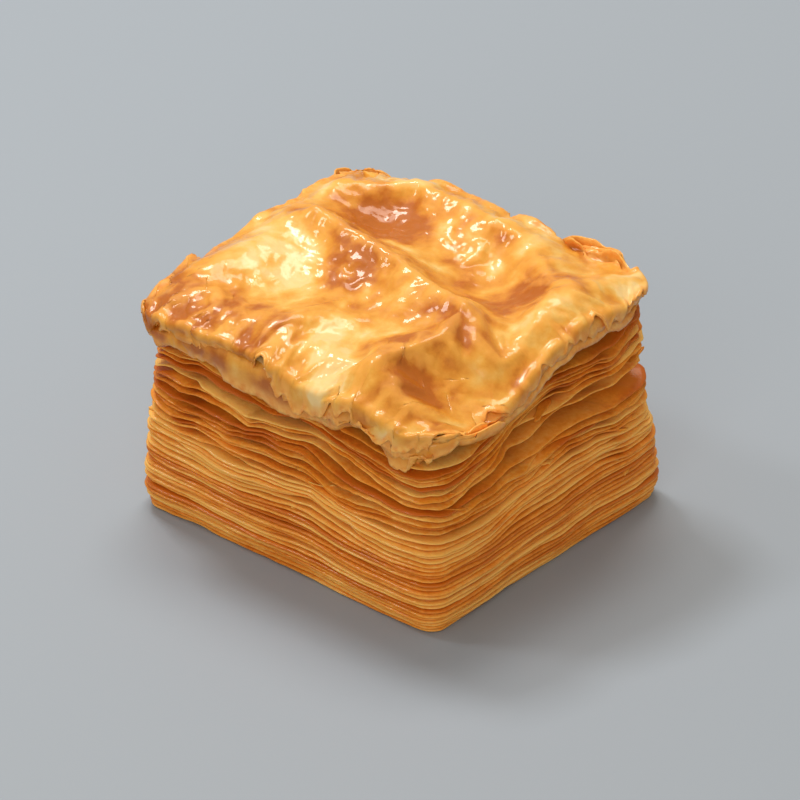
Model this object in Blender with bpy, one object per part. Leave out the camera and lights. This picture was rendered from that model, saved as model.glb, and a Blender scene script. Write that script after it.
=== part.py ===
"""One square piece of home-style baklava, lifted out of its baking tray.

A stack of buttered filo sheets is cut into squares before baking. In the oven the
upper sheets puff, crease and curl, and the lower ones stay packed and soak up syrup.
The result is one solid: a flat base, sides stepped by the edges of the sheets, and a
crumpled lid that hangs a little over the sides.

Metres, +Z up. The origin is the centre of the flat base. +X is the piece's long
direction, and the corner at +X -Y is the one whose top sheet dips the most.
"""

import math

import bmesh
import bpy
from mathutils import Vector

# Size of the cut block, before the sides waver and the lid creases.
WIDTH = 0.0362
DEPTH = 0.0324
RIM_HEIGHT = 0.0211
CROWN = 0.0012
CORNER_RADIUS = 0.0024

# How finely the block is sliced before it is shaped.
TOP_CELLS = 32
SHEET_PACKS = 16

# Sides: the packed lower half stands proud of the airy upper half, and the lid hangs
# over both. Every pack of sheets ends a little in or out of the one below.
BASE_INSET = 0.0006
BELLY = 0.0003
NECK = 0.0007
LIP = 0.0003
LEDGE = 0.00022
CUT_WAVER = 0.0004
CORNER_WEAR = 0.0012

# Where these begin and end, as shares of the height.
FOOT_END = 0.07
NECK_START = 0.45
BELLY_END = 0.55
NECK_FULL = 0.70
LID_START = 0.84
LIP_FULL = 0.96

# Folds that stand up from the lid: three points along each, width and height.
FOLDS = (
    (Vector((-0.0120, 0.0024)), Vector((-0.0010, 0.0008)), Vector((0.0096, -0.0018)), 0.0025, 0.0026),
    (Vector((0.0096, -0.0018)), Vector((0.0108, -0.0065)), Vector((0.0090, -0.0128)), 0.0022, 0.0021),
    (Vector((-0.0120, 0.0024)), Vector((-0.0138, -0.0030)), Vector((-0.0148, -0.0095)), 0.0024, 0.0009),
    (Vector((-0.0150, 0.0090)), Vector((-0.0090, 0.0132)), Vector((-0.0026, 0.0132)), 0.0020, 0.0013),
    (Vector((-0.0026, 0.0132)), Vector((0.0040, 0.0126)), Vector((0.0092, 0.0098)), 0.0020, 0.0012),
    (Vector((0.0092, 0.0098)), Vector((0.0130, 0.0070)), Vector((0.0156, 0.0015)), 0.0018, 0.0012),
    (Vector((-0.0044, -0.0016)), Vector((-0.0022, -0.0060)), Vector((-0.0026, -0.0110)), 0.0015, 0.0007),
    (Vector((0.0026, 0.0002)), Vector((0.0036, 0.0050)), Vector((0.0014, 0.0100)), 0.0015, 0.0006),
)
FOLD_ROUNDING = 0.0004

# Blisters and hollows of the lid: centre, radius and height.
SWELLINGS = (
    (Vector((0.0024, -0.0076)), 0.0056, 0.0009),
    (Vector((-0.0096, -0.0060)), 0.0046, 0.0006),
    (Vector((-0.0088, 0.0078)), 0.0040, -0.0012),
    (Vector((0.0050, 0.0054)), 0.0044, -0.0011),
    (Vector((0.0142, -0.0100)), 0.0044, -0.0011),
    (Vector((-0.0144, -0.0130)), 0.0034, -0.0006),
    (Vector((0.0175, 0.0055)), 0.0050, 0.0012),
)

# Corners: the signs of x and y there, and how far the lid dips or lifts.
CORNER_LIFTS = ((-1, -1, -0.0006), (1, -1, -0.0018), (1, 1, 0.0005), (-1, 1, 0.0))

# The lid's border: it curls up along +Y and rolls down along -Y and both X sides.
REAR_CURL = 0.0006
FRONT_ROLL = 0.0013
SIDE_ROLL = 0.0006
ROLL_WIDTH = 0.0036

PASTRY_COLOUR = (0.745, 0.343, 0.074, 1.0)
PASTRY_ROUGHNESS = 0.38


def smooth_step(value):
    """0 below 0, 1 above 1, and an even rise between."""
    t = min(1.0, max(0.0, value))
    return t * t * (3.0 - 2.0 * t)


def distance_to_segment(point, start, end):
    """How far a point of the lid lies from a crease's line."""
    along = end - start
    share = (point - start).dot(along) / along.length_squared
    return (point - start - along * min(1.0, max(0.0, share))).length


def fold_height(point, fold):
    """How high one fold lifts a point of the lid: a tent with a rounded crest."""
    start, bend, end, width, rise = fold
    away = min(distance_to_segment(point, start, bend), distance_to_segment(point, bend, end))
    away = math.hypot(away, FOLD_ROUNDING) - FOLD_ROUNDING
    return rise * math.exp(-away / width)


def corner_lift(u, v):
    """The corner lifts, blended over the lid so that its middle has none."""
    return sum(
        lift * smooth_step((1 + su * u) / 2) ** 2 * smooth_step((1 + sv * v) / 2) ** 2
        for su, sv, lift in CORNER_LIFTS
    )


def border_height(u, v):
    """How far the lid's border curls up or rolls down at u, v."""
    from_front = (1 + v) * DEPTH / 2
    from_rear = (1 - v) * DEPTH / 2
    from_side = (1 - abs(u)) * WIDTH / 2
    curl = REAR_CURL * smooth_step(1 - from_rear / ROLL_WIDTH)
    roll = FRONT_ROLL * smooth_step(1 - from_front / ROLL_WIDTH)
    return curl - roll - SIDE_ROLL * smooth_step(1 - from_side / ROLL_WIDTH)


def lid_height(u, v):
    """Height of the lid over the base at u, v, which run from -1 to 1 across it."""
    point = Vector((u * WIDTH / 2, v * DEPTH / 2))
    height = RIM_HEIGHT + CROWN * (1 - u**4) * (1 - v**4)
    height += max(fold_height(point, fold) for fold in FOLDS)
    for centre, radius, rise in SWELLINGS:
        height += rise * math.exp(-(((point - centre).length / radius) ** 2))
    return height + corner_lift(u, v) + border_height(u, v)


def ramp(share, start, end):
    """An even rise from 0 to 1 between two shares of the height."""
    return smooth_step((share - start) / (end - start))


def side_offset(share, pack):
    """How far the side stands out at a share of the height, for a pack of sheets."""
    belly = BELLY * math.sin(math.pi * min(1.0, share / BELLY_END))
    neck = NECK * ramp(share, NECK_START, NECK_FULL) * (1 - ramp(share, LID_START, LIP_FULL))
    lip = LIP * ramp(share, LID_START, LIP_FULL)
    foot = BASE_INSET * (1 - ramp(share, 0.0, FOOT_END))
    ledge = LEDGE * math.sin(pack * 2.4) if 0 < pack < SHEET_PACKS else 0.0
    return belly - neck + lip - foot + ledge


def cut_waver(u, v, pack):
    """The knife's wandering line and the uneven sheet ends, along the sides."""
    along = math.atan2(v, u)
    slow = math.sin(3 * along + 0.7) + 0.6 * math.sin(5 * along + 2.1)
    sheet_end = 0.5 * math.sin(9 * along + 1.9 * pack) + 0.3 * math.sin(17 * along - 2.7 * pack)
    return CUT_WAVER * (slow + sheet_end) / 2


def rounded_square(u, v):
    """u, v with the corners of their square drawn in to quarter circles."""
    start = 1 - CORNER_RADIUS / (DEPTH / 2)
    du = max(0.0, abs(u) - start)
    dv = max(0.0, abs(v) - start)
    if du == 0 or dv == 0:
        return u, v
    shrink = max(du, dv) / math.hypot(du, dv)
    return (
        math.copysign(start + du * shrink, u),
        math.copysign(start + dv * shrink, v),
    )


def shaped(u, v, w):
    """Where a point of the sliced block goes. w runs from 0 at the base to 1 at the lid."""
    pack = round(w * SHEET_PACKS)
    reach = max(abs(u), abs(v))
    ru, rv = rounded_square(u, v)
    out = side_offset(w, pack) + cut_waver(u, v, pack) * ramp(w, 0.0, 0.2)
    worn = CORNER_WEAR * w * abs(ru * rv) ** 6
    x = ru * (WIDTH / 2 + out * reach**3 - worn)
    y = rv * (DEPTH / 2 + out * reach**3 - worn)
    return Vector((x, y, lid_height(u, v) * w))


def sliced_block():
    """A unit cube cut into a lattice: fine across the lid, one slice for each pack."""
    block = bmesh.new()
    bmesh.ops.create_cube(block, size=1.0)
    cuts = (
        (Vector((1, 0, 0)), TOP_CELLS),
        (Vector((0, 1, 0)), TOP_CELLS),
        (Vector((0, 0, 1)), SHEET_PACKS),
    )
    for normal, cells in cuts:
        for index in range(1, cells):
            everything = block.verts[:] + block.edges[:] + block.faces[:]
            place = normal * (index / cells - 0.5)
            bmesh.ops.bisect_plane(block, geom=everything, plane_co=place, plane_no=normal, dist=1e-5)
    return block


def centre_on_base(block):
    """Slides the piece so that its outline lies evenly round the origin."""
    middle = [
        (max(vertex.co[axis] for vertex in block.verts) + min(vertex.co[axis] for vertex in block.verts)) / 2
        for axis in (0, 1)
    ]
    bmesh.ops.translate(block, verts=block.verts, vec=(-middle[0], -middle[1], 0.0))


def baklava_mesh():
    """The sliced block pulled into the shape of the piece, with one flat base face."""
    block = sliced_block()
    for vertex in block.verts:
        u, v, w = vertex.co.x * 2, vertex.co.y * 2, vertex.co.z + 0.5
        vertex.co = shaped(u, v, w)
    centre_on_base(block)
    block.normal_update()
    base = [face for face in block.faces if all(vertex.co.z < 1e-9 for vertex in face.verts)]
    bmesh.ops.dissolve_faces(block, faces=base)
    mesh = bpy.data.meshes.new("baklava_piece")
    block.to_mesh(mesh)
    block.free()
    return mesh


def filo_material():
    """Baked filo under a thin coat of syrup: golden, with a soft gloss."""
    material = bpy.data.materials.new("syrup_glazed_filo")
    material.use_nodes = True
    shader = material.node_tree.nodes["Principled BSDF"]
    shader.inputs["Base Color"].default_value = PASTRY_COLOUR
    shader.inputs["Roughness"].default_value = PASTRY_ROUGHNESS
    shader.inputs["Metallic"].default_value = 0.0
    return material


def clear_scene():
    for obj in list(bpy.data.objects):
        bpy.data.objects.remove(obj, do_unlink=True)


def build():
    clear_scene()
    collection = bpy.data.collections.new("baklava")
    bpy.context.scene.collection.children.link(collection)
    mesh = baklava_mesh()
    mesh.materials.append(filo_material())
    mesh.shade_smooth()
    mesh.set_sharp_from_angle(angle=math.radians(40))
    piece = bpy.data.objects.new("baklava_piece", mesh)
    collection.objects.link(piece)


build()
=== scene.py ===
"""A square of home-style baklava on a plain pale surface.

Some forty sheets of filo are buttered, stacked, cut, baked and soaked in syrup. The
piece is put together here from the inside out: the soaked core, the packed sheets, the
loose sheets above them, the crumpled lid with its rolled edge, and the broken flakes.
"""

import bpy
import numpy as np
from mathutils import Matrix, Vector


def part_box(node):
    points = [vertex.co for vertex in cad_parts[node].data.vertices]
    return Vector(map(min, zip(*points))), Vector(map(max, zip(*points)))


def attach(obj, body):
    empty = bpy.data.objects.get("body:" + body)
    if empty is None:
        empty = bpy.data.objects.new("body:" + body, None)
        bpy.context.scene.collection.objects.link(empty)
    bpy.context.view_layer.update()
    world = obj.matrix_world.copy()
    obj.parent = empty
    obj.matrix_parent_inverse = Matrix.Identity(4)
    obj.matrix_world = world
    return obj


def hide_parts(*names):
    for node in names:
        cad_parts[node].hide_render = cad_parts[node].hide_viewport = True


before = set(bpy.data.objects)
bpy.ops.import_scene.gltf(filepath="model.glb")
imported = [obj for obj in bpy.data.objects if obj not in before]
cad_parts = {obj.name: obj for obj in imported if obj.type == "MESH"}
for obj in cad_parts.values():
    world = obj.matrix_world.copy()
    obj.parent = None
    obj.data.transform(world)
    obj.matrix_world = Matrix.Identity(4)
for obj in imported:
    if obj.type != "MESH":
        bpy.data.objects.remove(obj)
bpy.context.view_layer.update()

MM = 0.001


# ---------------------------------------------------------------------------------
# Soaked core. The middle of the stack, where butter and syrup have run the sheets
# together into one damp amber mass. Only a little of it shows, deep between sheets.
# ---------------------------------------------------------------------------------

# Half the stack's length and width leave a little room for ragged ends inside the
# piece's own, and the creases stand well over the rim.
END_ROOM = 0.45 * MM
CREASE_ROOM = 4.25 * MM
piece_low, piece_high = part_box("baklava_piece")
HALF_X = (piece_high.x - piece_low.x) / 2 - END_ROOM
HALF_Y = (piece_high.y - piece_low.y) / 2 - END_ROOM
RIM_HEIGHT = piece_high.z - CREASE_ROOM
CROWN = 1.2 * MM
AROUND = 520

# The core: how far in from the sides, its corners' radius, how far under the lid, how
# high its underside, points round it and rings that close its top.
CORE_INSET = 5.2 * MM
CORE_RADIUS = 1.5 * MM
CORE_UNDER_LID = 2.0 * MM
CORE_BASE = 0.4 * MM
CORE_AROUND = 120
CORE_RINGS = 7

# Folds that stand up from the lid: x, y of three points along each, width, height.
FOLDS = np.array([
    (-12.0, 2.4, -1.0, 0.8, 9.6, -1.8, 2.5, 2.6),
    (9.6, -1.8, 10.8, -6.5, 9.0, -12.8, 2.2, 2.1),
    (-12.0, 2.4, -13.8, -3.0, -14.8, -9.5, 2.4, 0.9),
    (-15.0, 9.0, -9.0, 13.2, -2.6, 13.2, 2.0, 1.3),
    (-2.6, 13.2, 4.0, 12.6, 9.2, 9.8, 2.0, 1.2),
    (9.2, 9.8, 13.0, 7.0, 15.6, 1.5, 1.8, 1.2),
    (-4.4, -1.6, -2.2, -6.0, -2.6, -11.0, 1.5, 0.7),
    (2.6, 0.2, 3.6, 5.0, 1.4, 10.0, 1.5, 0.6),
]) * MM
FOLD_ROUNDING = 0.3 * MM

# Blisters and hollows of the lid: x, y, radius, height.
SWELLINGS = np.array([
    (2.4, -7.6, 5.6, 0.9),
    (-9.6, -6.0, 4.6, 0.6),
    (-8.8, 7.8, 4.0, -1.2),
    (5.0, 5.4, 4.4, -1.1),
    (14.2, -10.0, 4.4, -1.1),
    (-14.4, -13.0, 3.4, -0.6),
    (17.5, 5.5, 5.0, 1.2),
]) * MM

# Corners: the signs of x and y there, how far the lid dips or lifts, and the share of
# its reach by which the lid's sheets are rounded off.
CORNERS = (
    (-1, -1, -0.6 * MM, 0.13),
    (1, -1, -1.8 * MM, 0.07),
    (1, 1, 0.5 * MM, 0.11),
    (-1, 1, 0.0 * MM, 0.14),
)


def smooth_step(values):
    """0 below 0, 1 above 1, and 3t^2 - 2t^3 between."""
    t = np.clip(values, 0.0, 1.0)
    return t * t * (3.0 - 2.0 * t)


def lid_height(x, y):
    """Height of the lid over x, y: a flat-topped crown that falls off with the fourth
    power towards the rim, plus the highest fold there, each one a tent that dies away as
    exp(-distance / width) from a rounded crest, plus a bell for each swelling, plus the
    corner lifts."""
    u = np.clip(x / HALF_X, -1, 1)
    v = np.clip(y / HALF_Y, -1, 1)
    height = RIM_HEIGHT + CROWN * (1 - u**4) * (1 - v**4)
    folds = np.zeros_like(height)
    for ax, ay, bx, by, cx, cy, width, rise in FOLDS:
        for px, py, qx, qy in ((ax, ay, bx, by), (bx, by, cx, cy)):
            share = ((x - px) * (qx - px) + (y - py) * (qy - py)) / ((qx - px) ** 2 + (qy - py) ** 2)
            share = np.clip(share, 0, 1)
            away = np.hypot(x - px - share * (qx - px), y - py - share * (qy - py))
            away = np.hypot(away, FOLD_ROUNDING) - FOLD_ROUNDING
            folds = np.maximum(folds, rise * np.exp(-away / width))
    height = height + folds
    for cx, cy, radius, rise in SWELLINGS:
        height = height + rise * np.exp(-((x - cx) ** 2 + (y - cy) ** 2) / radius**2)
    for sx, sy, lift, _ in CORNERS:
        height = height + lift * smooth_step((1 + sx * u) / 2) ** 2 * smooth_step((1 + sy * v) / 2) ** 2
    return height


def outline(half_x, half_y, radius, columns):
    """A rectangle with quarter-circle corners, walked anticlockwise at even steps of
    length: returns x, y and the outward normal x, y of each column."""
    arc = np.linspace(0, np.pi / 2, 13)
    centres = ((1, 1), (-1, 1), (-1, -1), (1, -1))
    corner_x = np.concatenate([
        sx * (half_x - radius) + radius * np.cos(arc + turn * np.pi / 2)
        for turn, (sx, sy) in enumerate(centres)
    ])
    corner_y = np.concatenate([
        sy * (half_y - radius) + radius * np.sin(arc + turn * np.pi / 2)
        for turn, (sx, sy) in enumerate(centres)
    ])
    corner_x = np.append(corner_x, corner_x[0])
    corner_y = np.append(corner_y, corner_y[0])
    walked = np.append(0, np.cumsum(np.hypot(np.diff(corner_x), np.diff(corner_y))))
    steps = np.arange(columns) / columns * walked[-1]
    x = np.interp(steps, walked, corner_x)
    y = np.interp(steps, walked, corner_y)
    along_x = np.roll(x, -1) - np.roll(x, 1)
    along_y = np.roll(y, -1) - np.roll(y, 1)
    length = np.hypot(along_x, along_y)
    return x, y, along_y / length, -along_x / length


def grid_faces(rows, columns, wrap_rows=False, wrap_columns=False, start=0):
    """Quads between neighbouring rows and columns of a grid of points, which closes on
    itself in either direction where asked."""
    r = np.arange(rows if wrap_rows else rows - 1)[:, None]
    c = np.arange(columns if wrap_columns else columns - 1)[None, :]
    next_r = (r + 1) % rows
    next_c = (c + 1) % columns
    quads = (r * columns + c, r * columns + next_c, next_r * columns + next_c, next_r * columns + c)
    return np.stack([q + 0 * r + 0 * c for q in quads], -1).reshape(-1, 4) + start


def put_in_mesh(name, points, quads, triangles=None, marks=None):
    """Makes a smooth mesh object from arrays, faces turned outwards by the sign of the
    enclosed volume, with one number per point for each named mark."""
    points = np.asarray(points, float).reshape(-1, 3)
    corners = points[quads]
    middle = points.mean(axis=0)
    volume = 0.0
    for a, b, c in ((0, 1, 2), (0, 2, 3)):
        p, q, r = corners[:, a] - middle, corners[:, b] - middle, corners[:, c] - middle
        volume += np.einsum("ij,ij->i", p, np.cross(q, r)).sum()
    if volume < 0:
        quads = quads[:, ::-1]
        triangles = None if triangles is None else triangles[:, ::-1]
    loops = quads.ravel()
    sizes = np.full(len(quads), 4)
    if triangles is not None:
        loops = np.concatenate([loops, triangles.ravel()])
        sizes = np.concatenate([sizes, np.full(len(triangles), 3)])
    mesh = bpy.data.meshes.new(name)
    mesh.vertices.add(len(points))
    mesh.vertices.foreach_set("co", points.astype(np.float32).ravel())
    mesh.loops.add(len(loops))
    mesh.loops.foreach_set("vertex_index", loops.astype(np.int32))
    mesh.polygons.add(len(sizes))
    mesh.polygons.foreach_set("loop_start", (np.cumsum(sizes) - sizes).astype(np.int32))
    mesh.update(calc_edges=True)
    mesh.validate()
    mesh.shade_smooth()
    for mark, values in (marks or {}).items():
        attribute = mesh.attributes.new(mark, "FLOAT", "POINT")
        attribute.data.foreach_set("value", np.asarray(values, np.float32).ravel())
    thing = bpy.data.objects.new(name, mesh)
    bpy.context.scene.collection.objects.link(thing)
    return thing


def linear(hex_colour):
    """An sRGB hex colour as the linear red, green, blue and alpha that a shader takes."""
    parts = [int(hex_colour[i:i + 2], 16) / 255 for i in (1, 3, 5)]
    return [p / 12.92 if p <= 0.04045 else ((p + 0.055) / 1.055) ** 2.4 for p in parts] + [1.0]


def add_node(tree, kind, links=None, **settings):
    """Adds a shader node. Settings are its own properties or, where it has none of that
    name, the values of its inputs; links are input name: output socket."""
    node = tree.nodes.new(kind)
    for name, value in settings.items():
        if hasattr(node, name):
            setattr(node, name, value)
        else:
            node.inputs[name.replace("_", " ")].default_value = value
    for name, source in (links or {}).items():
        tree.links.new(source, node.inputs[name])
    return node


def new_material(name):
    """An empty node material with its Principled BSDF: returns material, tree, shader."""
    material = bpy.data.materials.new(name)
    material.use_nodes = True
    return material, material.node_tree, material.node_tree.nodes["Principled BSDF"]


def colour_steps(tree, factor, steps):
    """A colour ramp through (place, hex colour) steps."""
    ramp = add_node(tree, "ShaderNodeValToRGB", {"Fac": factor})
    while len(ramp.color_ramp.elements) < len(steps):
        ramp.color_ramp.elements.new(0.5)
    for element, (place, colour) in zip(ramp.color_ramp.elements, steps):
        element.position = place
        element.color = linear(colour)
    return ramp.outputs["Color"]


# Damp filo: wet dough between the sheets, brown amber, with the wet shine of syrup.
soaked_core, tree, shader = new_material("syrup_soaked_dough")
place = add_node(tree, "ShaderNodeTexCoord").outputs["Object"]
blotches = add_node(tree, "ShaderNodeTexNoise", {"Vector": place}, Scale=420.0, Detail=3.0)
colour = colour_steps(tree, blotches.outputs["Fac"], ((0.3, "#6e3810"), (0.7, "#9a5a20")))
tree.links.new(colour, shader.inputs["Base Color"])
shader.inputs["Roughness"].default_value = 0.9
shader.inputs["Specular IOR Level"].default_value = 0.1

core_x, core_y, _, _ = outline(HALF_X - CORE_INSET, HALF_Y - CORE_INSET, CORE_RADIUS, CORE_AROUND)
core_rings = [np.stack([core_x, core_y, np.full_like(core_x, CORE_BASE)], -1)]
for share in np.linspace(1.0, 0.0, CORE_RINGS + 2)[:-1]:
    x, y = core_x * share, core_y * share
    core_rings.append(np.stack([x, y, lid_height(x, y) - CORE_UNDER_LID], -1))
middle_height = float(lid_height(np.zeros(1), np.zeros(1))[0])
middle_points = np.array([[0, 0, middle_height - CORE_UNDER_LID], [0, 0, CORE_BASE]])
lowest = np.arange(CORE_AROUND)
last_ring = (len(core_rings) - 1) * CORE_AROUND
after = np.roll(lowest, -1)
top_middle = np.full(CORE_AROUND, len(core_rings) * CORE_AROUND)
core = put_in_mesh(
    "soaked_core",
    np.concatenate([*core_rings, middle_points]),
    grid_faces(len(core_rings), CORE_AROUND, wrap_columns=True),
    np.concatenate([
        np.stack([lowest + last_ring, after + last_ring, top_middle], -1),
        np.stack([after, lowest, top_middle + 1], -1),
    ]),
)
core.data.materials.append(soaked_core)
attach(core, "root")
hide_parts("baklava_piece")


# ---------------------------------------------------------------------------------
# Stacked sheets. Each filo sheet is 0.2 to 0.35 mm thick and is cut by the same knife
# stroke, so they end almost flush. The lower ones stay packed and soak up syrup; the
# upper ones have puffed apart, in twos and threes, and their ends have broken.
# ---------------------------------------------------------------------------------

# Sheets in the stack, how deep each reaches in from its end, and the numbers of the
# first half loose and the first loose one.
SHEETS = 38
SHEET_DEPTH = 6.5 * MM
FIRST_HALF_LOOSE = 14
FIRST_LOOSE = 25

# The stack's outline and how far it ends below the lid, with a hollow where the lid
# arches clear of it on the +x side: its place and width along y, and its depth.
OUTLINE_INSET = 0.5 * MM
OUTLINE_RADIUS = 1.8 * MM
UNDER_LID = 0.9 * MM
HOLLOW_PLACE = 5.0 * MM
HOLLOW_WIDTH = 4.2 * MM
HOLLOW_DEPTH = 1.7 * MM

# Sheets begin to come loose at this share of the stack. Soaked ones have swollen.
LOOSE_FROM = 0.30
DRY_THICKNESS = 0.24 * MM
SWOLLEN_BY = 0.10 * MM
THICKNESS_SPREAD = 0.02 * MM

# Sheets part in twos and threes: sizes of the voids over them, and how often each comes.
VOID_SIZES = [0.12, 0.6, 1.0, 1.35]
VOID_ODDS = [0.28, 0.3, 0.24, 0.18]
PACKED_VOID = 0.10
SETTLED = 0.7
LOWEST = 0.02 * MM

# The side's profile: it is drawn in under the lid, swells below, and its foot is worn.
# Each has a depth and the shares of the stack where it begins or ends.
NECK, NECK_START, NECK_LENGTH = 0.40 * MM, 0.62, 0.3
BELLY, BELLY_END = 0.30 * MM, 0.6
FOOT, FOOT_END = 0.5 * MM, 0.10
rng = np.random.default_rng(11)


def wander(rows, waves, columns=AROUND):
    """Rows of smooth random numbers that close round the outline: random Fourier terms
    that fade out above so many waves a turn, scaled to a spread of one."""
    terms = columns // 2 + 1
    fade = np.exp(-((np.arange(terms) / waves) ** 2))
    fade[0] = 0
    spectrum = (rng.standard_normal((rows, terms)) + 1j * rng.standard_normal((rows, terms))) * fade
    field = np.fft.irfft(spectrum, columns)
    return field / field.std(axis=1, keepdims=True)


edge_x, edge_y, out_x, out_y = outline(
    HALF_X - OUTLINE_INSET, HALF_Y - OUTLINE_INSET, OUTLINE_RADIUS, AROUND,
)
rim = lid_height(edge_x, edge_y) - UNDER_LID
hollow = np.exp(-(((edge_y - HOLLOW_PLACE) / HOLLOW_WIDTH) ** 2))
rim = rim - HOLLOW_DEPTH * hollow * smooth_step((edge_x / HALF_X - 0.85) / 0.1)
share = np.arange(SHEETS)[:, None] / (SHEETS - 1)
looseness = smooth_step((share - LOOSE_FROM) / (1 - LOOSE_FROM))

# Heights: thickness plus the void over each sheet, the voids stretched to reach the rim.
# Deeper in, the sheets draw towards even voids.
thickness = DRY_THICKNESS + SWOLLEN_BY * (1 - looseness)
thickness = thickness + THICKNESS_SPREAD * rng.standard_normal((SHEETS, 1))
pairing = rng.choice(VOID_SIZES, size=(SHEETS, 1), p=VOID_ODDS)
voids = np.clip(0.6 + 0.6 * wander(SHEETS, 9) + 0.12 * wander(SHEETS, 24), 0.03, 1.4)
at_corner = (np.abs(edge_x) / HALF_X * np.abs(edge_y) / HALF_Y) ** 6
voids = voids * pairing * (PACKED_VOID + looseness) * (1 - 0.5 * at_corner) + 0.1 * looseness * at_corner
room = rim - 0.25 * MM - thickness.sum()
voids *= room / voids.sum(axis=0)
sheet_floor = np.cumsum(thickness + voids, axis=0) - thickness - SETTLED * voids + LOWEST
even_voids = (PACKED_VOID + looseness) * room / (PACKED_VOID + looseness).sum()
even_floor = np.cumsum(thickness + even_voids, axis=0) - thickness - SETTLED * even_voids + LOWEST

# Ends: a shared wavering cut, each sheet's own shrinkage, ragged ends and broken chips.
# The corners are worn back, more so towards the lid.
cut = 0.16 * MM * wander(1, 4) + 0.05 * MM * wander(1, 14)
shrinkage = -np.abs(rng.standard_normal((SHEETS, 1))) * (0.10 + 0.22 * looseness) * MM
drift = wander(SHEETS, 5) * (0.07 + 0.10 * looseness) * MM
ragged = (
    wander(SHEETS, 34) * (0.035 + 0.05 * looseness) * MM
    + wander(SHEETS, 90) * (0.012 + 0.02 * looseness) * MM
)
chips = -smooth_step((wander(SHEETS, 13) - 1.0) / 1.4) * (0.25 + 0.9 * looseness) * (1 - at_corner) * MM
neck = -NECK * smooth_step((share - NECK_START) / NECK_LENGTH)
foot = -FOOT * (1 - smooth_step(share / FOOT_END))
belly = BELLY * np.sin(np.pi * np.clip(share / BELLY_END, 0, 1))
ends = cut + shrinkage + drift + ragged + chips + neck + foot + belly

# Ends also curl: the outer millimetre of a loose sheet bends up or down into its void.
curl = wander(SHEETS, 8) * 0.35
curl = np.where(curl > 0, curl * voids * 0.7, curl * np.roll(voids, 1, axis=0) * 0.7) * looseness
curl = curl * (1 - at_corner)

# A sheet's section: distance in from its end, and share of its thickness there.
SECTION = np.array([
    (1.0, 0.0), (0.45, 0.0), (0.18, 0.0), (0.05, 0.0), (0.008, 0.12),
    (0.0, 0.5),
    (0.008, 0.88), (0.05, 1.0), (0.18, 1.0), (0.45, 1.0), (1.0, 1.0),
])
inward = SECTION[:, 0][None, :, None] * SHEET_DEPTH
through = SECTION[:, 1][None, :, None]
near_end = (1 - SECTION[:, 0][None, :, None]) ** 6
parted = 1 - 0.5 * SECTION[:, 0][None, :, None]
end_taper = 1 - 0.35 * (1 - smooth_step(inward / (0.5 * MM)))
worn = at_corner * (0.3 + 1.2 * share) * MM
drawn = inward + worn[:, None, :]
sheet_x = edge_x * (1 - drawn / HALF_X) + out_x * ends[:, None, :]
sheet_y = edge_y * (1 - drawn / HALF_Y) + out_y * ends[:, None, :]
sheet_z = (
    sheet_floor[:, None, :] * parted + even_floor[:, None, :] * (1 - parted)
    + thickness[:, :, None] * (0.5 + (through - 0.5) * end_taper)
    + curl[:, None, :] * near_end
)
sheet_z = np.maximum(sheet_z, LOWEST)
sheet_points = np.stack([sheet_x, sheet_y, sheet_z], -1)

sheet_tone = 0.5 + 0.20 * rng.standard_normal((SHEETS, 1)) + 0.14 * wander(SHEETS, 10)
tone_mark = np.broadcast_to(sheet_tone[:, None, :], sheet_z.shape)
end_mark = np.broadcast_to(1 - smooth_step(inward / (1.1 * MM)), sheet_z.shape)


def times_plus(tree, value, factor, offset, clamp=False):
    """A socket times a factor, plus an offset: a number or another socket."""
    node = add_node(tree, "ShaderNodeMath", {0: value}, operation="MULTIPLY_ADD", use_clamp=clamp)
    node.inputs[1].default_value = factor
    if isinstance(offset, float):
        node.inputs[2].default_value = offset
    else:
        tree.links.new(offset, node.inputs[2])
    return node.outputs[0]


def mixed_colour(tree, factor, first, second):
    """A colour that runs from the first to the second, which may be a hex colour."""
    node = add_node(tree, "ShaderNodeMix", data_type="RGBA")
    tree.links.new(factor, node.inputs["Factor"])
    tree.links.new(first, node.inputs["A"])
    if isinstance(second, str):
        node.inputs["B"].default_value = linear(second)
    else:
        tree.links.new(second, node.inputs["B"])
    return node.outputs["Result"]


SYRUP_IOR = 1.47


def set_skin(shader, ior, coat, coat_roughness, glow, glow_colour, glow_depth):
    """The syrup film and the light that filo lets through, which are constants."""
    shader.inputs["IOR"].default_value = ior
    shader.inputs["Coat Weight"].default_value = coat
    shader.inputs["Coat Roughness"].default_value = coat_roughness
    shader.inputs["Coat IOR"].default_value = SYRUP_IOR
    shader.inputs["Subsurface Weight"].default_value = glow
    shader.inputs["Subsurface Radius"].default_value = glow_colour
    shader.inputs["Subsurface Scale"].default_value = glow_depth


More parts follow.
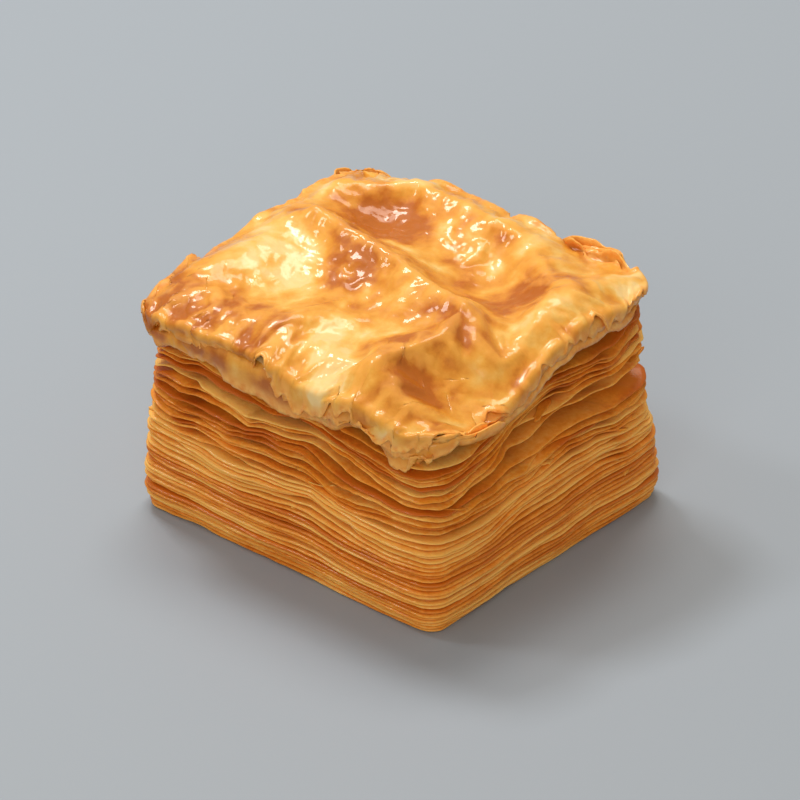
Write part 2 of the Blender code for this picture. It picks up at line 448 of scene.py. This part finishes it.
def filo_sheet_material(name, inner, ends, roughness, coat, glow):
    """Filo sheets seen on their cut ends. Colour runs from the inner ramp to the ramp of
    the ends; each sheet has its own tone, with toasted flecks about 0.4 mm across."""
    material, tree, shader = new_material(name)
    place = add_node(tree, "ShaderNodeTexCoord").outputs["Object"]
    tone = add_node(tree, "ShaderNodeAttribute", attribute_name="sheet_tone").outputs["Fac"]
    end = add_node(tree, "ShaderNodeAttribute", attribute_name="sheet_end").outputs["Fac"]
    flecks = add_node(tree, "ShaderNodeTexNoise", {"Vector": place}, Scale=2300.0, Detail=4.0, Roughness=0.6)
    patches = add_node(tree, "ShaderNodeTexNoise", {"Vector": place}, Scale=330.0, Detail=3.0)
    both = times_plus(tree, flecks.outputs["Fac"], 1.0, patches.outputs["Fac"])
    toned = times_plus(tree, times_plus(tree, both, 0.55, -0.55), 1.0, tone, clamp=True)
    inner_colour = colour_steps(tree, toned, inner)
    end_colour = colour_steps(tree, toned, ends)
    tree.links.new(mixed_colour(tree, end, inner_colour, end_colour), shader.inputs["Base Color"])
    bump = add_node(tree, "ShaderNodeBump", {"Height": flecks.outputs["Fac"]}, Strength=0.35)
    bump.inputs["Distance"].default_value = 0.12 * MM
    tree.links.new(bump.outputs["Normal"], shader.inputs["Normal"])
    shader.inputs["Roughness"].default_value = roughness
    set_skin(shader, 1.33, coat, 0.18, glow, (1.0, 0.5, 0.18), 1.2 * MM)
    return material


def sheet_group(name, first, last, material):
    """One piece from sheets first to last: closed rings whose section is SECTION."""
    count = last - first
    stations = len(SECTION)
    faces = np.concatenate([
        grid_faces(stations, AROUND, True, True, start=index * stations * AROUND) for index in range(count)
    ])
    group = put_in_mesh(
        name, sheet_points[first:last], faces,
        marks={"sheet_tone": tone_mark[first:last], "sheet_end": end_mark[first:last]},
    )
    group.data.materials.append(material)
    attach(group, "root")
    return group


# Syrup-soaked filo: translucent, wet, deep amber with honey-coloured ends.
soaked_filo = filo_sheet_material(
    "syrup_soaked_filo",
    ((0.2, "#c8741e"), (0.5, "#e6922e"), (0.8, "#f4ae48")),
    ((0.2, "#d4761e"), (0.5, "#f49c38"), (0.8, "#ffc064")),
    0.42, 0.28, 0.25,
)
# Crisp filo: thin baked sheets, straw-coloured with toasted golden-brown ends.
crisp_filo = filo_sheet_material(
    "crisp_baked_filo",
    ((0.2, "#d88426"), (0.5, "#f0a440"), (0.8, "#fcc66a")),
    ((0.2, "#c86818"), (0.5, "#f0962c"), (0.8, "#ffc266")),
    0.48, 0.2, 0.25,
)
packed = sheet_group("packed_sheets", 0, FIRST_HALF_LOOSE, soaked_filo)
half_loose = sheet_group("half_loose_sheets", FIRST_HALF_LOOSE, FIRST_LOOSE, soaked_filo)
loose = sheet_group("loose_sheets", FIRST_LOOSE, SHEETS, crisp_filo)
for group in (packed, half_loose, loose):
    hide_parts("baklava_piece")


# ---------------------------------------------------------------------------------
# Lid. The top sheets, brushed with butter, blister and crease in the oven, then sink
# back under the syrup. They roll down over the cut at three sides, most of all at -y,
# and curl up at +y. Stretched sheets find their own creases here.
# ---------------------------------------------------------------------------------

LID_STEPS = (45, 41)
LID_THICKNESS = 0.16 * MM
LEAF_THICKNESS = 0.15 * MM

# Random fields over a lid sheet are read from a larger square of noise: its cells a
# side, the cells that a sheet spans each way, and the cells that sizes are shares of.
NOISE_SIZE = 256
NOISE_SPAN = (180, 165)
NOISE_UNIT = 150


def mottle(rows, columns, cell_share, seed):
    """A smooth random field over a sheet with a spread of one: white noise on a larger
    grid, its Fourier terms fading out above one wave for each cell."""
    square = (NOISE_SIZE, NOISE_SIZE)
    waves = np.hypot(np.fft.fftfreq(NOISE_SIZE)[:, None], np.fft.rfftfreq(NOISE_SIZE)[None, :])
    noise = np.random.default_rng(seed).standard_normal(square)
    cell = cell_share * NOISE_UNIT
    field = np.fft.irfft2(np.fft.rfft2(noise) * np.exp(-((waves * cell * 1.6) ** 2)), square)
    field /= field.std()
    r = np.linspace(0, NOISE_SPAN[0], rows)
    c = np.linspace(0, NOISE_SPAN[1], columns)
    r0, c0 = r.astype(int), c.astype(int)
    fr, fc = (r - r0)[:, None], (c - c0)[None, :]

    def corner(i, j):
        """The field at the cell's corner, i rows and j columns on."""
        return field[np.ix_(r0 + i, c0 + j)]

    return (
        corner(0, 0) * (1 - fr) * (1 - fc) + corner(1, 0) * fr * (1 - fc)
        + corner(0, 1) * (1 - fr) * fc + corner(1, 1) * fr * fc
    )


# The lid starts to bend down this far inside the cut, and has its full slope after the
# length of the roll.
ROLL_START = 1.1 * MM
ROLL_LENGTH = 1.4 * MM


def rolled_sheet(rows, columns, reach, bend, seed):
    """The sheet before it creases. Arc lengths run out from the middle to the reach of
    each side. Past the start of the roll, the slope grows smoothly to the side's bend, so
    place is the running sum of its cosine and drop the running sum of its sine."""
    u = np.linspace(-1, 1, rows)[:, None] * np.ones((1, columns))
    v = np.linspace(-1, 1, columns)[None, :] * np.ones((rows, 1))

    def side_values(table):
        """A table's four numbers (-x, +x, -y, +y) as two fields that change sides smoothly."""
        across = smooth_step((u + 1) / 2)
        along = smooth_step((v + 1) / 2)
        return table[0] * (1 - across) + table[1] * across, table[2] * (1 - along) + table[3] * along

    reach_x, reach_y = side_values(reach)

    def ragged_end(first_seed):
        """How far the sheet's border wanders in and out, slowly and quickly."""
        slow = mottle(rows, columns, 0.09, first_seed)
        return 0.22 * MM * slow + 0.05 * MM * mottle(rows, columns, 0.02, first_seed + 1)

    rounded = 1 - sum(
        trimmed * (np.clip(sx * u, 0, 1) * np.clip(sy * v, 0, 1)) ** 4 for sx, sy, _, trimmed in CORNERS
    )
    arc_x = u * rounded * (HALF_X + reach_x + ragged_end(seed + 5) * np.abs(u) ** 12)
    arc_y = v * rounded * (HALF_Y + reach_y + ragged_end(seed + 7) * np.abs(v) ** 12)
    bend_x, bend_y = side_values(bend)
    bend_x = bend_x * (1 + 0.35 * mottle(rows, columns, 0.2, seed + 9))
    bend_y = bend_y * (1 + 0.25 * mottle(rows, columns, 0.2, seed + 10))
    slope_x = bend_x * smooth_step((np.abs(arc_x) - HALF_X + ROLL_START) / ROLL_LENGTH)
    slope_y = bend_y * smooth_step((np.abs(arc_y) - HALF_Y + ROLL_START) / ROLL_LENGTH)

    def summed(values, arcs, axis):
        """Running sum along an axis of values times arc steps, zero in the middle."""
        steps = np.diff(arcs, axis=axis)
        count = values.shape[axis]
        means = (np.take(values, range(1, count), axis) + np.take(values, range(count - 1), axis)) / 2
        none = np.zeros_like(np.take(values, [0], axis))
        total = np.concatenate([none, np.cumsum(means * steps, axis=axis)], axis=axis)
        return total - np.take(total, [count // 2], axis)

    x = summed(np.cos(slope_x), arc_x, 0)
    y = summed(np.cos(slope_y), arc_y, 1)
    drop_x = np.abs(summed(np.sin(slope_x) * np.sign(arc_x), arc_x, 0)) * np.sign(bend_x)
    drop_y = np.abs(summed(np.sin(slope_y) * np.sign(arc_y), arc_y, 1)) * np.sign(bend_y)
    drop = np.where(drop_x * drop_y > 0, np.hypot(drop_x, drop_y) * np.sign(drop_x), drop_x + drop_y)
    z = lid_height(x, y) - drop
    return np.stack([x, y, z], -1), arc_x, arc_y


def thread_pairs(rows, columns, di, dj):
    """Slices that pair each point with the one di rows and dj columns on, in batches in
    which no point comes twice, so that a batch can be moved all at once."""
    if di == 0:
        return [(b[::-1], e[::-1]) for b, e in thread_pairs(columns, rows, dj, 0)]
    along = (slice(0, columns - dj), slice(dj, columns))
    if dj < 0:
        along = (slice(-dj, columns), slice(0, columns + dj))
    pairs = []
    for start in range(2 * di):
        count = len(range(start, rows - di, 2 * di))
        if count:
            stop = start + 2 * di * (count - 1) + 1
            begin = slice(start, stop, 2 * di)
            pairs.append(((begin, along[0]), (slice(start + di, stop + di, 2 * di), along[1])))
    return pairs


def crease(points, settled, slack, rounds, stiffness, hold, support, wall):
    """Lets a sheet find its creases. Every thread between neighbours is pulled or pushed
    to its length as the sheet lay, times the slack; longer threads across two and four
    steps resist bending; a weak hold draws points back to where they lay. Support stops
    them below. At the sides the walls do, where the next pieces stand: points outside
    the rounded rectangle (x / wall)^8 + (y / wall)^8 = 1 are scaled back on to it."""
    rows, columns = slack.shape
    threads = []
    for di, dj, strength in (
        (1, 0, 1.0), (0, 1, 1.0), (1, 1, 0.7), (1, -1, 0.7),
        (2, 0, stiffness), (0, 2, stiffness), (4, 0, stiffness / 2), (0, 4, stiffness / 2),
    ):
        for begin, end in thread_pairs(rows, columns, di, dj):
            rest = np.linalg.norm(settled[end] - settled[begin], axis=-1) * (slack[begin] + slack[end]) / 2
            threads.append((begin, end, rest[..., None], strength / 2))
    for _ in range(rounds):
        for begin, end, rest, strength in threads:
            gap = points[end] - points[begin]
            length = np.sqrt(np.einsum("ijk,ijk->ij", gap, gap))[..., None]
            gap *= strength * (1 - rest / length)
            points[begin] += gap
            points[end] -= gap
        points += (settled - points) * hold
        np.maximum(points[..., 2], support(points), out=points[..., 2])
        past_x, past_y = points[..., 0] / wall[0], points[..., 1] / wall[1]
        past = np.maximum((past_x**8 + past_y**8) ** (1 / 8), 1)
        points[..., :2] /= past[..., None]
    return points


def finer(points):
    """Doubles a grid's steps in both directions with the four-point rule, in which a new
    point is 9/16 of its neighbours less 1/16 of the next ones out."""
    for _ in range(2):
        padded = np.concatenate([2 * points[:1] - points[1:2], points, 2 * points[-1:] - points[-2:-1]])
        new = (9 * (padded[1:-2] + padded[2:-1]) - padded[:-3] - padded[3:]) / 16
        doubled = np.empty((2 * len(points) - 1,) + points.shape[1:])
        doubled[::2] = points
        doubled[1::2] = new
        points = np.swapaxes(doubled, 0, 1)
    return points


# Rounds of relaxation and stiffness against bending, from the coarse grid to the finest.
LID_LEVELS = ((500, 0.9), (220, 0.6), (130, 0.35))
START_NOISE = 0.06 * MM
BORDER_WIDTH = 3 * MM


def lid_sheet(seed, reach, bend, slack, spread, under=None, gap=0.0):
    """One creased lid sheet, settled on a coarse grid and then twice on a finer one. It
    stays over the stack, and over the sheet beneath where there is one. Spread is how
    far past the stack's sides the walls stand."""
    rows, columns = LID_STEPS
    points = None
    for level, (rounds, stiffness) in enumerate(LID_LEVELS):
        if level:
            rows, columns = 2 * rows - 1, 2 * columns - 1
            points = finer(points)
        settled, arc_x, arc_y = rolled_sheet(rows, columns, reach, bend, seed)
        if points is None:
            points = settled.copy()
        start = mottle(rows, columns, 0.045 / 2**level, seed + level)
        points[..., 2] += START_NOISE / 2**level * start
        past_cut = np.maximum(np.abs(arc_x) - HALF_X, np.abs(arc_y) - HALF_Y)
        near_border = smooth_step((past_cut + BORDER_WIDTH) / BORDER_WIDTH)
        uneven = np.clip(slack + 0.02 * mottle(rows, columns, 0.15, seed + 20), 0, None)
        amount = 1 + uneven + 0.01 * near_border
        step = 2 ** (2 - level)

        def support(place):
            height = np.where(
                (np.abs(place[..., 0]) < HALF_X - 1.2 * MM) & (np.abs(place[..., 1]) < HALF_Y - 1.2 * MM),
                lid_height(place[..., 0], place[..., 1]) - 0.5 * MM, 0.0,
            )
            return height if under is None else np.maximum(height, under[::step, ::step, 2] + gap)

        hold = np.stack([0.002 + 0.03 * near_border] * 2 + [0.0006 + 0.004 * near_border], -1)
        waver = 0.12 * MM * mottle(rows, columns, 0.12, 99)
        wall = (HALF_X + spread + waver, HALF_Y + spread + waver)
        points = crease(points, settled, amount, rounds, stiffness, hold, support, wall)
    return points


def pucker(points, seed):
    """Fine relief, raised along z: a smooth field of about 0.8 mm waves, the tops of a
    finer one as blisters, and thin wrinkles along the lines where two others are zero."""
    rows, columns = points.shape[:2]
    waves = mottle(rows, columns, 0.016, seed)
    blisters = np.clip(mottle(rows, columns, 0.013, seed + 1) - 1.5, 0, 1.2)
    wrinkles = sum(
        np.clip(0.30 - np.abs(mottle(rows, columns, cell, seed + 2)), 0, None) * height
        for cell, height in ((0.045, 0.22), (0.075, 0.26))
    )
    raised = points.copy()
    raised[..., 2] += (0.018 * waves + 0.09 * blisters + wrinkles) * MM
    return raised


def shell_points(points, thickness):
    """Upper and lower faces of a sheet: its points moved half the thickness along the
    normals, which are the cross products of the grid's two directions."""
    across = np.gradient(points, axis=0)
    along = np.gradient(points, axis=1)
    normal = np.cross(across, along)
    normal /= np.linalg.norm(normal, axis=-1, keepdims=True)
    return points + normal * thickness / 2, points - normal * thickness / 2


def sheet_shell(name, points, thickness, marks):
    """A closed thin shell round a grid of points: upper face, lower face turned over,
    and a strip of quads round the border."""
    rows, columns = points.shape[:2]
    upper, lower = shell_points(points, thickness)
    count = rows * columns
    top = grid_faces(rows, columns)
    bottom = top[:, ::-1] + count
    index = np.arange(count).reshape(rows, columns)
    border = np.concatenate([index[0, :-1], index[:-1, -1], index[-1, :0:-1], index[:0:-1, 0]])
    after = np.roll(border, -1)
    strip = np.stack([border, border + count, after + count, after], -1)
    both = {mark: np.concatenate([values.ravel(), values.ravel()]) for mark, values in marks.items()}
    return put_in_mesh(
        name, np.concatenate([upper.reshape(-1, 3), lower.reshape(-1, 3)]),
        np.concatenate([top, bottom, strip]), marks=both,
    )


def lid_marks(points, seed, browner):
    """Marks for colour: how far a point stands over its surroundings (crest), which sets a
    painted highlight on ridges, how near the sheet's border it is (border), and broad
    blotches of toasting with painted light in them (browning_and_sheen): browner all over
    by so much, browner in hollows from pooled syrup and painted shade, and paler on
    swellings from painted sheen."""
    rows, columns = points.shape[:2]
    height = points[..., 2]
    blurred = height.copy()
    for _ in range(24):
        padded = np.pad(blurred, 1, mode="edge")
        blurred = (padded[:-2, 1:-1] + padded[2:, 1:-1] + padded[1:-1, :-2] + padded[1:-1, 2:]) / 4
    crest = np.clip(0.5 + (height - blurred) / (0.35 * MM), 0, 1)
    from_row = np.minimum(np.arange(rows), np.arange(rows)[::-1])[:, None]
    from_column = np.minimum(np.arange(columns), np.arange(columns)[::-1])[None, :]
    border = 1 - smooth_step(np.minimum(from_row, from_column) / 7.0)
    browning_and_sheen = 0.5 + browner + 0.24 * mottle(rows, columns, 0.16, seed + 31)
    browning_and_sheen = browning_and_sheen + 0.15 * mottle(rows, columns, 0.05, seed + 32)
    # Painted sheen makes the swellings paler; painted shade, together with pooled syrup, makes the hollows
    # browner.
    for cx, cy, radius, rise in SWELLINGS:
        away = (points[..., 0] - cx) ** 2 + (points[..., 1] - cy) ** 2
        browning_and_sheen = browning_and_sheen - np.sign(rise) * np.exp(-away / radius**2) * (0.22 if rise < 0 else 0.26)
    return {"crest": crest, "border": border, "browning_and_sheen": browning_and_sheen}


# Glazed filo: paper-thin, baked golden and brushed with syrup. Swellings are painted a
# pale straw gold as painted sheen, hollows go amber from held syrup and painted shade, and
# crests and cut edges carry a painted highlight.
glazed_filo, tree, shader = new_material("syrup_glazed_golden_filo")
place = add_node(tree, "ShaderNodeTexCoord").outputs["Object"]
browning_and_sheen = add_node(tree, "ShaderNodeAttribute", attribute_name="browning_and_sheen").outputs["Fac"]
crest = add_node(tree, "ShaderNodeAttribute", attribute_name="crest").outputs["Fac"]
border = add_node(tree, "ShaderNodeAttribute", attribute_name="border").outputs["Fac"]
flecks = add_node(
    tree, "ShaderNodeTexNoise", {"Vector": place}, Scale=1500.0, Detail=5.0, Roughness=0.62,
).outputs["Fac"]
patches = add_node(
    tree, "ShaderNodeTexNoise", {"Vector": place}, Scale=260.0, Detail=4.0, Roughness=0.55, Distortion=0.6,
).outputs["Fac"]
mottled = times_plus(tree, patches, 0.70, times_plus(tree, flecks, 0.30, -0.15))
# The toasting here also carries the painted sheen on swellings and the painted shade in hollows from the
# lid's marks.
toasted = times_plus(tree, browning_and_sheen, 0.75, mottled, clamp=True)
body_colour = colour_steps(tree, times_plus(tree, toasted, 1.0, -0.22, clamp=True), (
    (0.05, "#f5d290"), (0.18, "#f0c068"), (0.36, "#e8a642"),
    (0.56, "#da8f2e"), (0.76, "#bb6816"), (0.95, "#82420e"),
))
# Painted highlight and painted glow along the cut edge: the border runs to pale gold, with toasted orange
# flecks that are real.
edge_colour = colour_steps(tree, flecks, ((0.3, "#e88a28"), (0.7, "#ffc468")))
edged = mixed_colour(tree, border, body_colour, edge_colour)
# Painted highlight: crests are mixed toward a pale gold.
crest_highlight = add_node(
    tree, "ShaderNodeMapRange", {"Value": crest}, From_Min=0.62, From_Max=1.0, To_Min=0.0, To_Max=0.45,
)
topped = mixed_colour(tree, crest_highlight.outputs["Result"], edged, "#fcb654")
tree.links.new(topped, shader.inputs["Base Color"])
blisters = add_node(tree, "ShaderNodeTexVoronoi", {"Vector": place}, feature="SMOOTH_F1", Scale=1100.0)
fine_bump = add_node(tree, "ShaderNodeBump", {"Height": flecks}, Strength=0.35, Distance=0.1 * MM)
blister_bump = add_node(
    tree, "ShaderNodeBump", {"Height": blisters.outputs["Distance"], "Normal": fine_bump.outputs["Normal"]},
    Strength=0.15, Distance=0.2 * MM, invert=True,
)
tree.links.new(blister_bump.outputs["Normal"], shader.inputs["Normal"])
wetness = add_node(
    tree, "ShaderNodeMapRange", {"Value": patches}, From_Min=0.3, From_Max=0.7, To_Min=0.55, To_Max=0.30,
)
tree.links.new(wetness.outputs["Result"], shader.inputs["Roughness"])
set_skin(shader, 1.30, 0.5, 0.06, 0.12, (1.0, 0.6, 0.25), 0.6 * MM)

# Reach past the cut, and bend of the roll in radians, at the -x, +x, -y and +y sides.
LID_REACH = np.array([1.7, 1.5, 3.2, 1.2]) * MM
LID_BEND = np.array([1.25, 0.8, 1.5, -0.5])
UNDER_REACH = np.array([0.3, 0.3, 2.2, -0.2]) * MM
UNDER_BEND = np.array([0.8, 0.4, 1.4, -0.1])
UNDER_SUNK = 0.35 * MM
under_points = pucker(lid_sheet(41, UNDER_REACH, UNDER_BEND, 0.02, -0.25 * MM), 43)
under_marks = lid_marks(under_points, 41, 0.1)
sunk_points = under_points - np.array([0, 0, UNDER_SUNK])
under_lid = sheet_shell("under_lid_sheet", sunk_points, LID_THICKNESS, under_marks)
top_points = lid_sheet(7, LID_REACH, LID_BEND, 0.013, 0.0, under_points, 0.12 * MM)
top_points = pucker(top_points, 9)


def drawn_in(points, trim, seed):
    """The same sheet cut smaller: rows and columns are read again at places scaled in
    from each side, between four neighbouring points. The scale leaves out an uneven
    share, trim, of what hangs over that side, and wavers along it."""
    rows, columns = points.shape[:2]
    u = np.linspace(-1, 1, rows)[:, None]
    v = np.linspace(-1, 1, columns)[None, :]
    uneven = 1 + 0.50 * mottle(rows, columns, 0.08, seed) + 0.25 * mottle(rows, columns, 0.025, seed + 1)
    uneven = trim * np.clip(uneven, 0.1, 2.0)
    along_x_sides = np.where(u < 0, uneven[:1, :] * (LID_REACH[0] + MM), uneven[-1:, :] * (LID_REACH[1] + MM))
    along_y_sides = np.where(v < 0, uneven[:, :1] * (LID_REACH[2] + MM), uneven[:, -1:] * (LID_REACH[3] + MM))
    place_r = (u * (1 - along_x_sides / (HALF_X + LID_REACH[1])) + 1) / 2 * (rows - 1)
    place_c = (v * (1 - along_y_sides / (HALF_Y + LID_REACH[3])) + 1) / 2 * (columns - 1)
    r0 = np.clip(place_r.astype(int), 0, rows - 2)
    c0 = np.clip(place_c.astype(int), 0, columns - 2)
    fr, fc = (place_r - r0)[..., None], (place_c - c0)[..., None]
    return (
        points[r0, c0] * (1 - fr) * (1 - fc) + points[r0 + 1, c0] * fr * (1 - fc)
        + points[r0, c0 + 1] * (1 - fr) * fc + points[r0 + 1, c0 + 1] * fr * fc
    )


def soft_normals(points):
    """Outward normals of a sheet, averaged over many neighbours."""
    normal = np.cross(np.gradient(points, axis=0), np.gradient(points, axis=1))
    for _ in range(12):
        padded = np.pad(normal, ((1, 1), (1, 1), (0, 0)), mode="edge")
        normal = (padded[:-2, 1:-1] + padded[2:, 1:-1] + padded[1:-1, :-2] + padded[1:-1, 2:]) / 4
    return normal / np.linalg.norm(normal, axis=-1, keepdims=True)


def leaf_below(points, depth, trim, seed):
    """A further sheet under one: drawn in less, moved inward by its depth, which grows
    away from the border, and flared out again in places along its own last half
    millimetre, where it has dried and curled. Its corners are drawn in a little more."""
    leaf = drawn_in(points, trim, seed)
    rows, columns = leaf.shape[:2]
    u = np.abs(np.linspace(-1, 1, rows))[:, None]
    v = np.abs(np.linspace(-1, 1, columns))[None, :]
    from_border = 1 - np.maximum(u, v)
    sunk = depth + 0.8 * MM * smooth_step((from_border - 0.05) / 0.16) * (depth > 0)
    flare = np.clip(0.4 + mottle(rows, columns, 0.06, seed + 3), 0, 1.6) * (1 - (u * v) ** 8)
    sunk = sunk - 0.12 * MM * flare * (1 - smooth_step(from_border / 0.035))
    leaf = leaf - sunk[..., None] * soft_normals(leaf)
    leaf[..., :2] *= 1 - 0.5 * depth / HALF_X * ((u * v) ** 6)[..., None]
    return leaf


# The leaves below the top sheet: depth in mm, share trimmed off the overhang, browner.
LEAVES = ((0.28, 0.32, -0.25), (0.54, 0.16, 0.20), (0.82, 0.0, -0.05))
TOP_TRIM = 0.46
leaf_points = [
    leaf_below(top_points[::2, ::2], depth * MM, trim, 200 + 10 * order)
    for order, (depth, trim, _) in enumerate(LEAVES)
]
top_points = leaf_below(top_points, 0.0, TOP_TRIM, 190)
top_sheet = sheet_shell("lid_sheet", top_points, LID_THICKNESS, lid_marks(top_points, 7, 0.0))
leaves = [
    sheet_shell(f"lid_leaf_{order + 1}", leaf, LEAF_THICKNESS, lid_marks(leaf, 210 + order, browner))
    for order, (leaf, (_, _, browner)) in enumerate(zip(leaf_points, LEAVES))
]
for lid in (under_lid, top_sheet, *leaves):
    lid.data.materials.append(glazed_filo)
    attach(lid, "root")
    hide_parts("baklava_piece")


# ---------------------------------------------------------------------------------
# Broken flakes. Where the knife and the serving spoon have passed, the brittle sheets
# snap into curved shards, which stick out of the cut sides or cling there in the syrup.
# ---------------------------------------------------------------------------------

FLAKES = 44
FLAKE_GRID = (9, 7)
FLAKE_THICKNESS = 0.11 * MM
flake_rng = np.random.default_rng(5)

spot = flake_rng.integers(0, AROUND, FLAKES)
sheet = np.clip((SHEETS * flake_rng.beta(2.6, 1.3, FLAKES)).astype(int), 3, SHEETS - 2)
middle = sheet_points[sheet, 7, spot] - 0.5 * MM * np.stack([out_x[spot], out_y[spot], 0 * spot], -1)
turn = np.arctan2(out_y[spot], out_x[spot]) + np.pi / 2 + 0.35 * flake_rng.standard_normal(FLAKES)
tilt = 0.20 * flake_rng.standard_normal((FLAKES, 2))
half_length = flake_rng.uniform(0.6, 1.7, FLAKES) * MM
half_width = flake_rng.uniform(0.35, 0.8, FLAKES) * MM
bow = flake_rng.uniform(-0.18, 0.26, (FLAKES, 2)) / MM


def flake_surfaces():
    """Each flake is a grid p, q from -1 to 1: length and width times p and q, its outline
    swung in and out by sines of both, bowed by the squares of its coordinates, then
    tilted, turned about z and moved to its place."""
    p = np.linspace(-1, 1, FLAKE_GRID[0])[None, :, None]
    q = np.linspace(-1, 1, FLAKE_GRID[1])[None, None, :]
    phase = flake_rng.uniform(0, 2 * np.pi, (4, FLAKES, 1, 1))
    ends = 0.9 + 0.12 * np.sin(3 * q + phase[0]) + 0.03 * np.sin(7 * q + phase[1])
    sides = 0.8 + 0.18 * np.sin(2.5 * p + phase[2]) + 0.04 * np.sin(8 * p + phase[3])
    x = half_length[:, None, None] * p * ends
    y = half_width[:, None, None] * q * sides
    z = bow[:, :1, None] * x**2 + bow[:, 1:, None] * y**2
    z = z + tilt[:, :1, None] * x + tilt[:, 1:, None] * y
    c, s = np.cos(turn)[:, None, None], np.sin(turn)[:, None, None]
    return np.stack([c * x - s * y, s * x + c * y, z], -1) + middle[:, None, None, :]


flakes_grid = flake_surfaces()
lift = np.array([0, 0, FLAKE_THICKNESS / 2])
flake_count = FLAKE_GRID[0] * FLAKE_GRID[1]
one_top = grid_faces(*FLAKE_GRID)
index = np.arange(flake_count).reshape(FLAKE_GRID)
border = np.concatenate([index[0, :-1], index[:-1, -1], index[-1, :0:-1], index[:0:-1, 0]])
after = np.roll(border, -1)
strip = np.stack([border, border + flake_count, after + flake_count, after], -1)
one_flake = np.concatenate([one_top, one_top[:, ::-1] + flake_count, strip])
flake_faces = (one_flake[None] + 2 * flake_count * np.arange(FLAKES)[:, None, None]).reshape(-1, 4)
flake_points = np.stack([flakes_grid + lift, flakes_grid - lift], 1)
flake_tone = np.broadcast_to(flake_rng.uniform(0.3, 0.8, FLAKES)[:, None], (FLAKES, 2 * flake_count))
flakes = put_in_mesh(
    "broken_flakes", flake_points, flake_faces,
    marks={"sheet_tone": flake_tone, "sheet_end": np.full(flake_tone.shape, 0.7)},
)
flakes.data.materials.append(crisp_filo)
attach(flakes, "root")
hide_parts("baklava_piece")


# ---------------------------------------------------------------------------------
# Surface, light and camera. A plain pale grey table, one broad soft light overhead and
# a little behind, a wide fill in front, two small lights that glint in the syrup, and a
# long lens that looks down on a corner.
# ---------------------------------------------------------------------------------

floor_points = np.array([(-1, -1, 0), (1, -1, 0), (1, 1, 0), (-1, 1, 0)], float) * 1.5
floor_mesh = bpy.data.meshes.new("table")
floor_mesh.from_pydata(floor_points.tolist(), [], [(0, 1, 2, 3)])
table = bpy.data.objects.new("table", floor_mesh)
bpy.context.scene.collection.objects.link(table)
table_finish, tree, shader = new_material("matt_pale_grey_table")
shader.inputs["Base Color"].default_value = linear("#98a5b5")
shader.inputs["Roughness"].default_value = 0.6
table.data.materials.append(table_finish)

world = bpy.data.worlds.new("studio")
bpy.context.scene.world = world
world.use_nodes = True
world.node_tree.nodes["Background"].inputs["Color"].default_value = linear("#f2e3ce")
world.node_tree.nodes["Background"].inputs["Strength"].default_value = 0.50


def soft_light(name, place, size, power, colour, aim=(0, 0, 0.012)):
    """A square area light at a place, turned to face its aim."""
    lamp = bpy.data.lights.new(name, "AREA")
    lamp.shape = "SQUARE"
    lamp.size = size
    lamp.energy = power
    lamp.color = linear(colour)[:3]
    holder = bpy.data.objects.new(name, lamp)
    bpy.context.scene.collection.objects.link(holder)
    holder.location = place
    holder.rotation_euler = (Vector(aim) - Vector(place)).to_track_quat("-Z", "Y").to_euler()
    return holder


soft_light("overhead_softbox", (-0.10, 0.14, 0.42), 0.17, 0.80, "#fff4e6")
soft_light("front_fill", (0.24, -0.40, 0.22), 0.34, 0.74, "#fff4e4")
soft_light("small_key", (-0.20, 0.06, 0.34), 0.08, 0.55, "#fffaf2")
soft_light("ridge_light", (-0.218, -0.108, 0.312), 0.06, 0.20, "#fffaf2")

AZIMUTH, ELEVATION, ROLL = np.radians(42.5), np.radians(32.0), np.radians(-1.7)
LENS = 560
DISTANCE = 1.12
AIM_HEIGHT = 10.5 * MM
camera_data = bpy.data.cameras.new("camera")
camera_data.lens = LENS
camera = bpy.data.objects.new("camera", camera_data)
bpy.context.scene.collection.objects.link(camera)
bpy.context.scene.camera = camera
back = Vector((
    np.sin(AZIMUTH) * np.cos(ELEVATION), -np.cos(AZIMUTH) * np.cos(ELEVATION), np.sin(ELEVATION),
))
target = Vector((0, 0, AIM_HEIGHT))
turn = back.to_track_quat("Z", "Y").to_matrix() @ Matrix.Rotation(ROLL, 3, "Z")
camera.matrix_world = Matrix.Translation(target + back * DISTANCE) @ turn.to_4x4()
camera_data.clip_start = 0.05
camera_data.clip_end = 20

bpy.context.scene.view_settings.view_transform = "Standard"
